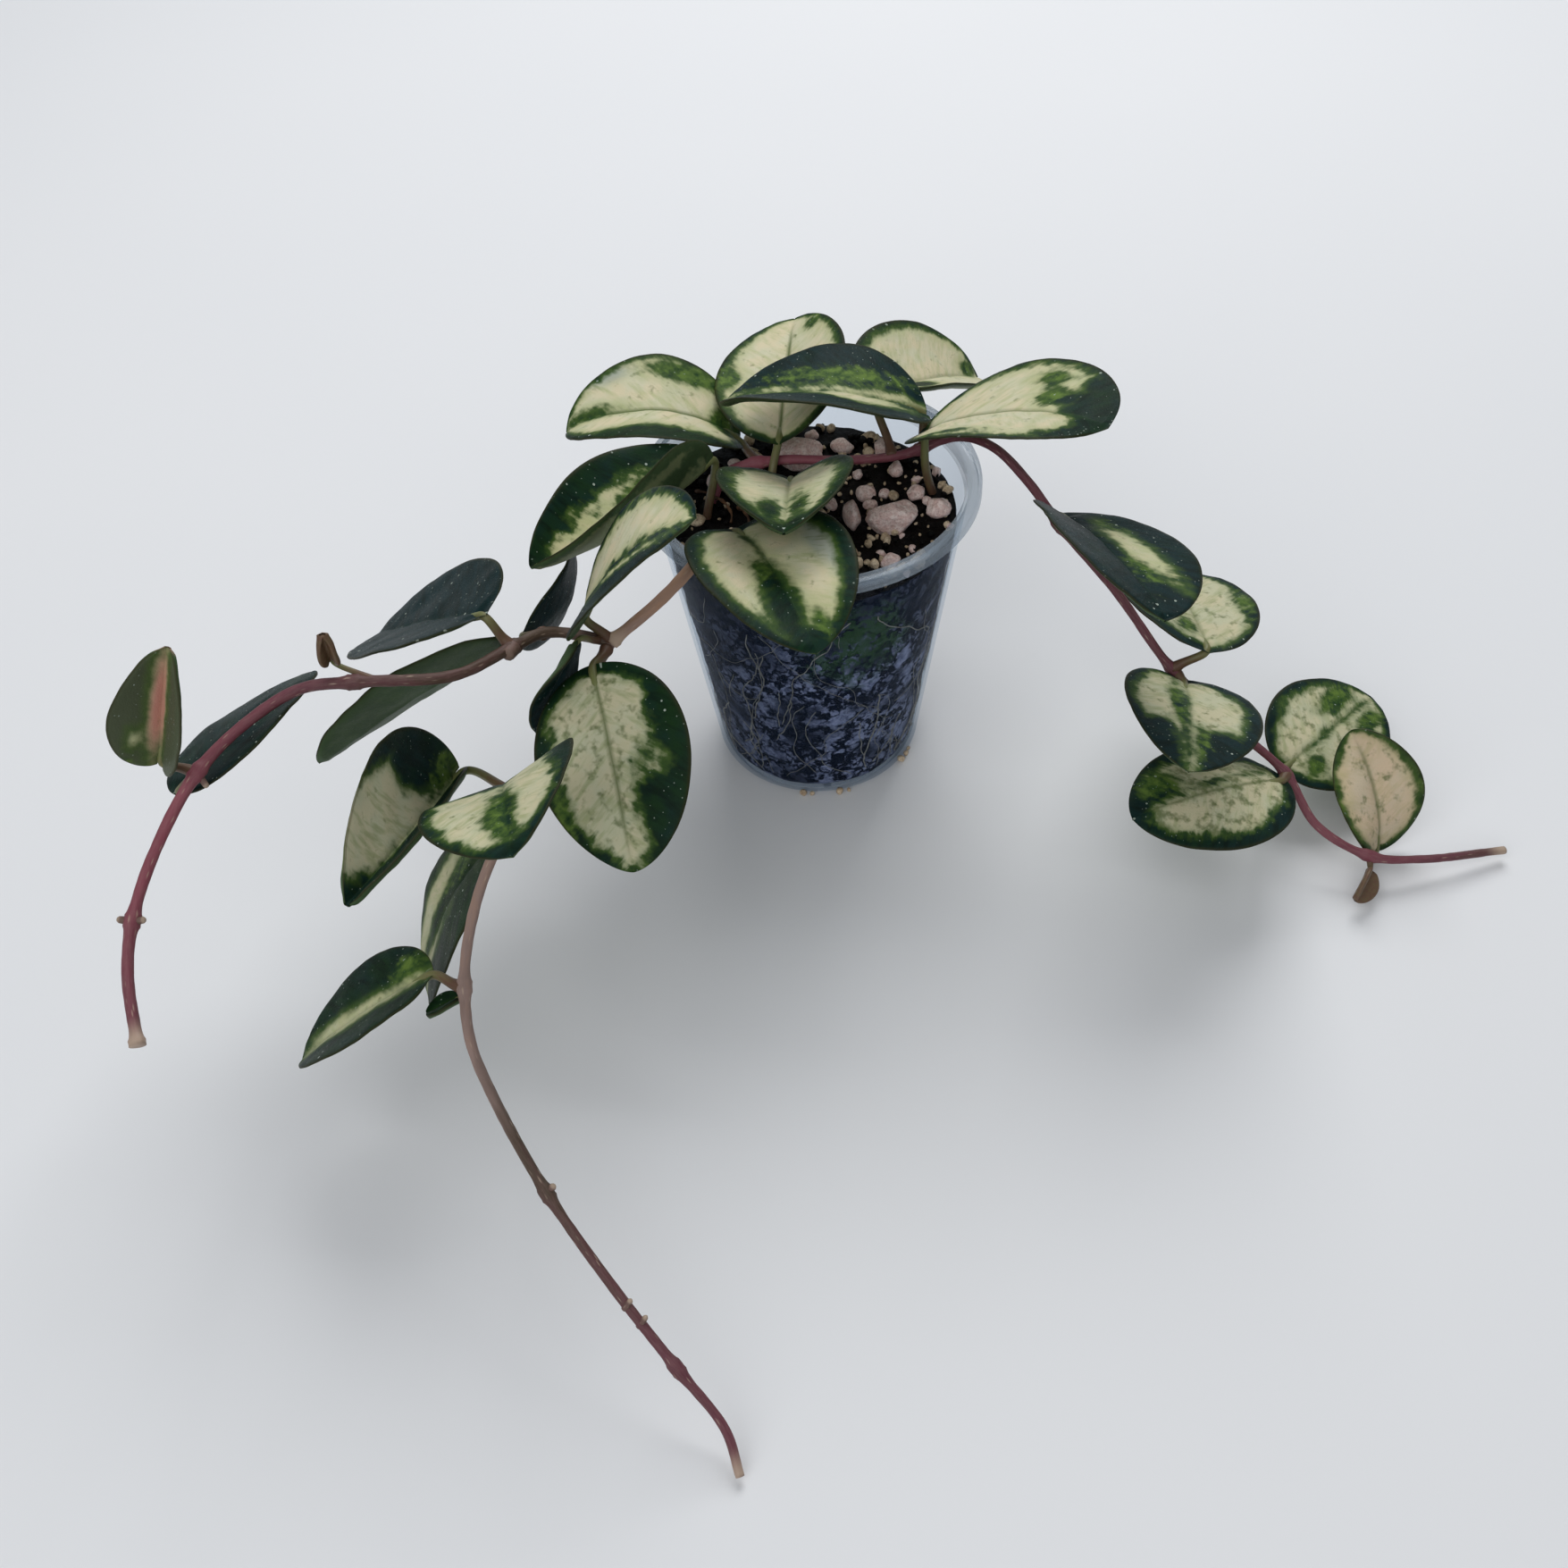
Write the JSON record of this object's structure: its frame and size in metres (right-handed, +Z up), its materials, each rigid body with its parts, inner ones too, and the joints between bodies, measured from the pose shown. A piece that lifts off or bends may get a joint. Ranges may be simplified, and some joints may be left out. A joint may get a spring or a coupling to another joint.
{
  "type": "potted trailing hoya",
  "caption": "Small trailing vine with thick cream and green leaves on thin bare-tipped stems, in a clear tapered cup of dark soil and pale stones.",
  "frame": {"origin": "centre of the cup's flat underside, on the surface that it stands on", "axes": "+Z up along the cup's axis, +X to the right and -Y towards the viewer of the picture"},
  "size_m": [0.3042, 0.2604, 0.1129],
  "materials": {
    "clearPlastic": "clear, slightly hazy thin plastic",
    "soil": "matt, crumbly bark and peat potting mix",
    "pumice": "matt, porous pumice",
    "stemMaroon": "satin maroon bark",
    "stemBrown": "matt tan to red-brown bark",
    "leafCream": "waxy, cream with green margin",
    "leafGreen": "waxy, dark green",
    "leafBlush": "waxy, pale pink cream with thin green margin",
    "leafUnder": "satin olive underside"
  },
  "bodies": {
    "root": {"cup": "clearPlastic", "soil": "soil", "pumice_large": "pumice", "pumice_back": "pumice", "pumice_tall": "pumice", "pumice_right": "pumice", "pumice_right_small": "pumice", "pumice_middle": "pumice", "pumice_front": "pumice", "pumice_back_right": "pumice", "stem_right": "stemMaroon", "stem_left": "stemBrown", "leaf_mouth_left": "leafCream", "leaf_mouth_back": "leafCream", "leaf_mouth_dark": "leafGreen", "leaf_mouth_back_right": "leafCream", "leaf_mouth_right": "leafCream", "leaf_mouth_small": "leafCream", "leaf_rim_front": "leafCream", "leaf_rim_left": "leafCream", "leaf_fork_upper": "leafCream", "leaf_fork_large": "leafCream", "leaf_fork_narrow": "leafGreen", "leaf_left_inner": "leafGreen", "leaf_left_upper": "leafGreen", "leaf_left_lower": "leafUnder", "leaf_left_bud": "leafUnder", "leaf_left_behind": "leafGreen", "leaf_left_end": "leafUnder", "leaf_front_outer": "leafCream", "leaf_front_saddle": "leafCream", "leaf_front_hanging": "leafGreen", "leaf_front_low": "leafGreen", "leaf_front_tiny": "leafGreen", "leaf_right_first": "leafGreen", "leaf_right_second_back": "leafCream", "leaf_right_second_front": "leafCream", "leaf_right_third_left": "leafCream", "leaf_right_third_right": "leafCream", "leaf_right_end": "leafBlush", "leaf_right_bud": "leafUnder"}
  },
  "joints": []
}
